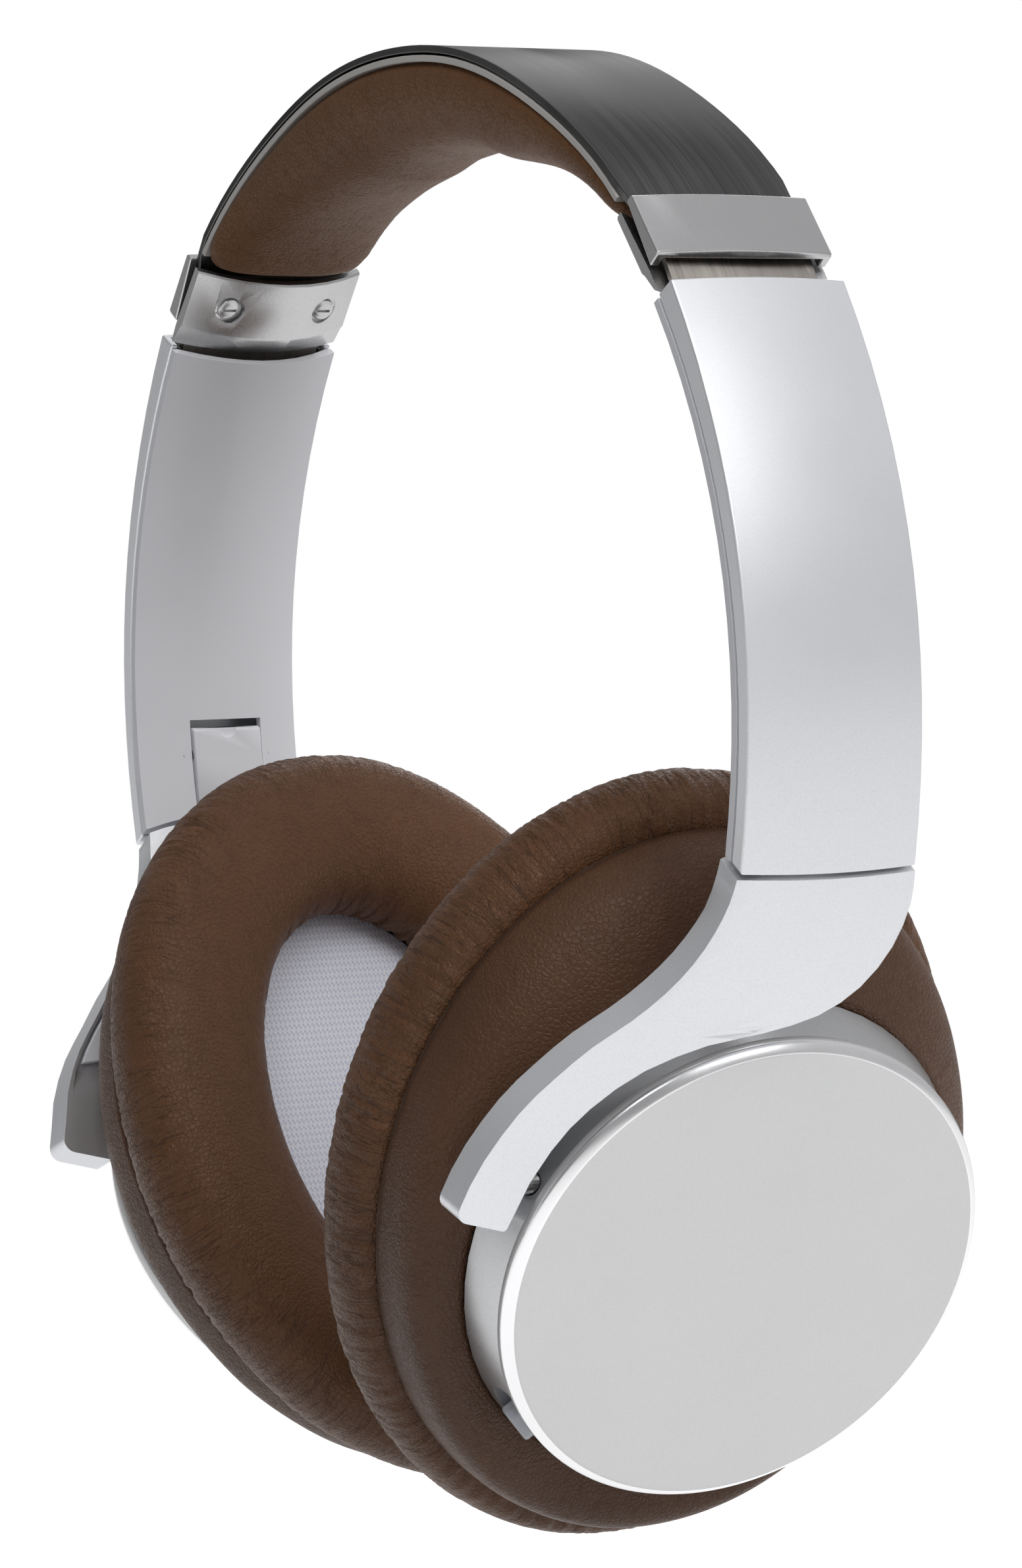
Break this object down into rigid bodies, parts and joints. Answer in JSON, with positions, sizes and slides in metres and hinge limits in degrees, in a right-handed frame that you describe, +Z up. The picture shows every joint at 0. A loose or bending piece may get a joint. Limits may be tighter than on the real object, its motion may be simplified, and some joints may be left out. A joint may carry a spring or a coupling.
{
  "type": "over ear headphones",
  "caption": "Over ear headphones with a sprung steel band, sliding arms, one-sided swept yokes and oval cushioned cups that tilt.",
  "frame": {"origin": "middle of the underside of the head pad, where the wearer's head carries it", "axes": "+Z up along the wearer's height, +X towards the left cup (the one with the noise switch), -Y towards the side where the cup pivots are"},
  "size_m": [0.1642, 0.0889, 0.1974],
  "materials": {
    "brown_leather": "brown pebbled leather, slight sheen",
    "satin_silver": "satin silver paint",
    "clamp_silver": "satin",
    "brushed_steel": "brushed along its length",
    "strip_steel": "brushed",
    "anodised_disc": "very light grey satin anodised, polished edge",
    "white_cover": "matte white",
    "pale_trim": "matte",
    "white_cloth": "knitted mesh",
    "dark_plastic": "matte",
    "driver_film": "thin film",
    "green_board": "solder mask",
    "battery_wrap": "shrink wrap",
    "button_white": "satin translucent white",
    "contact_brass": "polished",
    "ribbon_cable": "amber film"
  },
  "bodies": {
    "headband": {"band_liner": "pale_trim", "clamp_block_left": "clamp_silver", "clamp_block_right": "clamp_silver", "clamp_plate_left": "clamp_silver", "clamp_plate_right": "clamp_silver", "clamp_screw_front_left": "clamp_silver", "clamp_screw_front_right": "clamp_silver", "clamp_screw_rear_left": "clamp_silver", "clamp_screw_rear_right": "clamp_silver", "crossover_cable": "ribbon_cable", "head_pad": "brown_leather", "slider_strip_left": "strip_steel", "slider_strip_right": "strip_steel", "steel_band": "brushed_steel"},
    "arm_left": {"arm_cover_left": "white_cover", "arm_shell_left": "satin_silver", "detent_spring_left": "strip_steel", "fold_leaf_left": "white_cover", "fold_pin_left": "clamp_silver", "pivot_pin_left": "clamp_silver", "strip_guide_left": "dark_plastic", "yoke_left": "satin_silver", "yoke_liner_left": "white_cover"},
    "arm_right": {"arm_cover_right": "white_cover", "arm_shell_right": "satin_silver", "detent_spring_right": "strip_steel", "fold_leaf_right": "white_cover", "fold_pin_right": "clamp_silver", "pivot_pin_right": "clamp_silver", "strip_guide_right": "dark_plastic", "yoke_liner_right": "white_cover", "yoke_right": "satin_silver"},
    "cup_left": {"baffle_cloth_left": "white_cloth", "baffle_left": "dark_plastic", "battery": "battery_wrap", "cup_back_left": "brown_leather", "diaphragm_left": "driver_film", "disc_cap_left": "anodised_disc", "driver_frame_left": "dark_plastic", "driver_magnet_left": "clamp_silver", "ear_cushion_left": "brown_leather", "housing_left": "satin_silver", "jack_socket": "contact_brass"},
    "cup_right": {"baffle_cloth_right": "white_cloth", "baffle_right": "dark_plastic", "charge_port": "clamp_silver", "circuit_board": "green_board", "cup_back_right": "brown_leather", "diaphragm_right": "driver_film", "disc_cap_right": "anodised_disc", "driver_frame_right": "dark_plastic", "driver_magnet_right": "clamp_silver", "ear_cushion_right": "brown_leather", "housing_right": "satin_silver"},
    "button_forward": {"button_forward": "button_white"},
    "button_play": {"button_play": "button_white"},
    "button_back": {"button_back": "button_white"},
    "noise_switch": {"noise_switch": "button_white"}
  },
  "joints": [
    {"name": "slider_left", "type": "hinge", "parent": "headband", "child": "arm_left", "pos_m": [-0.1126, 0, -0.1144], "axis": [0, 1, 0], "range_deg": [0, 7.2]},
    {"name": "slider_right", "type": "hinge", "parent": "headband", "child": "arm_right", "pos_m": [0.1126, 0, -0.1144], "axis": [0, -1, 0], "range_deg": [0, 7.2]},
    {"name": "tilt_left", "type": "hinge", "parent": "arm_left", "child": "cup_left", "pos_m": [0.0539, 0, -0.1318], "axis": [0, -1, 0], "range_deg": [-6, 20]},
    {"name": "tilt_right", "type": "hinge", "parent": "arm_right", "child": "cup_right", "pos_m": [-0.0539, 0, -0.1318], "axis": [0, 1, 0], "range_deg": [0, 26]},
    {"name": "press_forward", "type": "slide", "parent": "cup_right", "child": "button_forward", "axis": [-0.2831, 0.9029, 0.3234], "range_m": [0, 0.0006], "stiffness_N_per_m": 800},
    {"name": "press_play", "type": "slide", "parent": "cup_right", "child": "button_play", "axis": [-0.4095, 0.728, 0.5499], "range_m": [0, 0.0006], "stiffness_N_per_m": 800},
    {"name": "press_back", "type": "slide", "parent": "cup_right", "child": "button_back", "axis": [-0.4958, 0.4818, 0.7226], "range_m": [0, 0.0006], "stiffness_N_per_m": 800},
    {"name": "noise_slide", "type": "slide", "parent": "cup_left", "child": "noise_switch", "axis": [0.2748, -0.6814, 0.6783], "range_m": [0, 0.003]}
  ]
}
